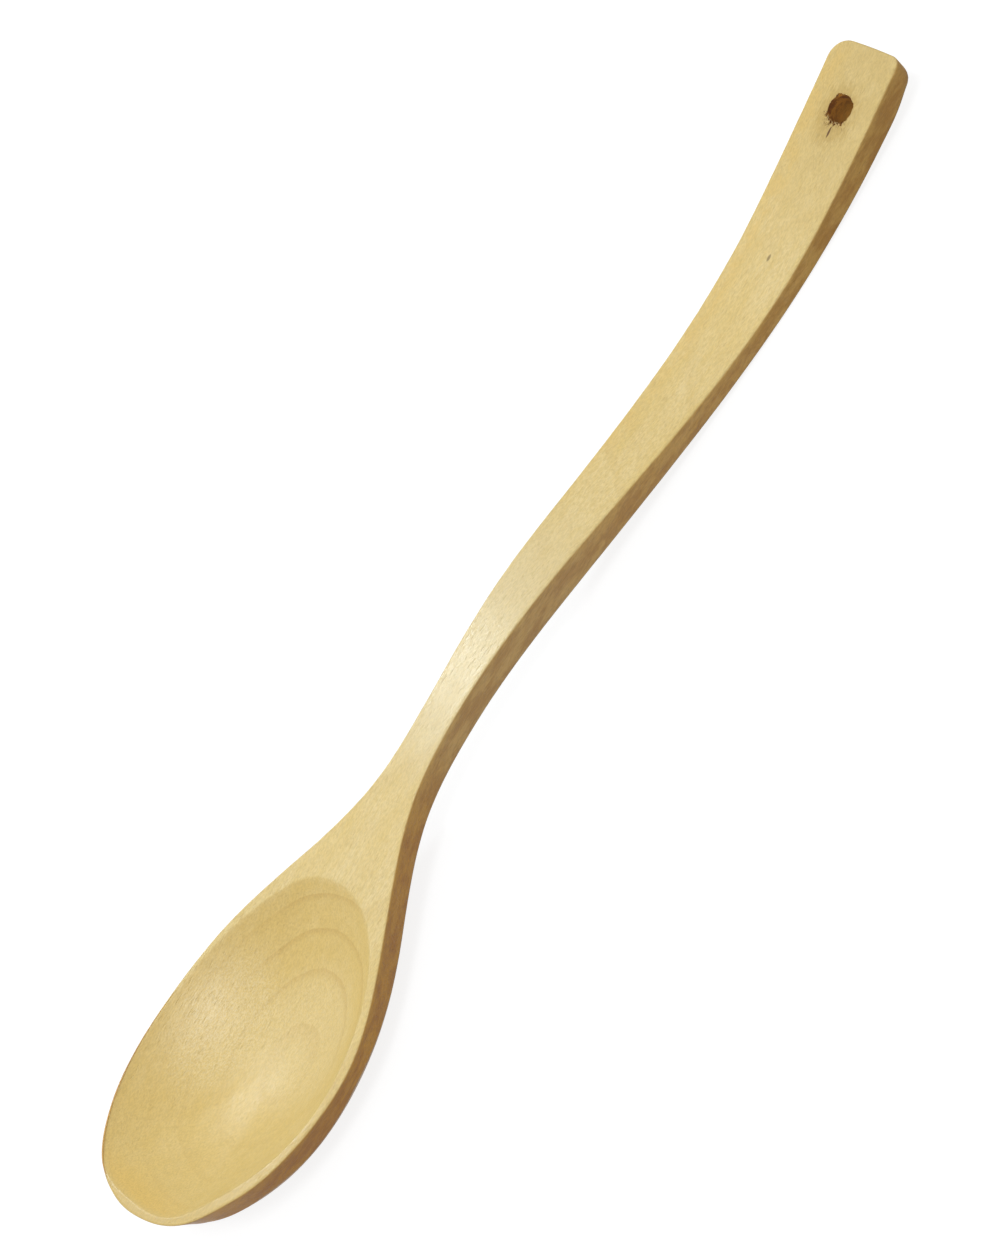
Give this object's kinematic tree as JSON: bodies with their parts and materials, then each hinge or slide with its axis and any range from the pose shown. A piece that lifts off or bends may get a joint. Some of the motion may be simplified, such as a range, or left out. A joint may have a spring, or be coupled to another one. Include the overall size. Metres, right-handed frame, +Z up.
{
  "type": "wooden spoon",
  "caption": "One-piece carved wooden cooking spoon with a deep oval bowl, a narrow neck, a curved flat-topped handle and a hanging hole.",
  "frame": {"origin": "middle of the spoon's length and width, at the level of the table it rests on", "axes": "+X from the bowl's tip to the handle's end, +Z up with the hollow of the bowl facing up, +Y to the right seen from the handle's end"},
  "size_m": [0.3, 0.0542, 0.0203],
  "materials": {
    "wood": "pale oiled hardwood, sanded smooth, satin"
  },
  "bodies": {
    "root": {"spoon": "wood"}
  },
  "joints": []
}
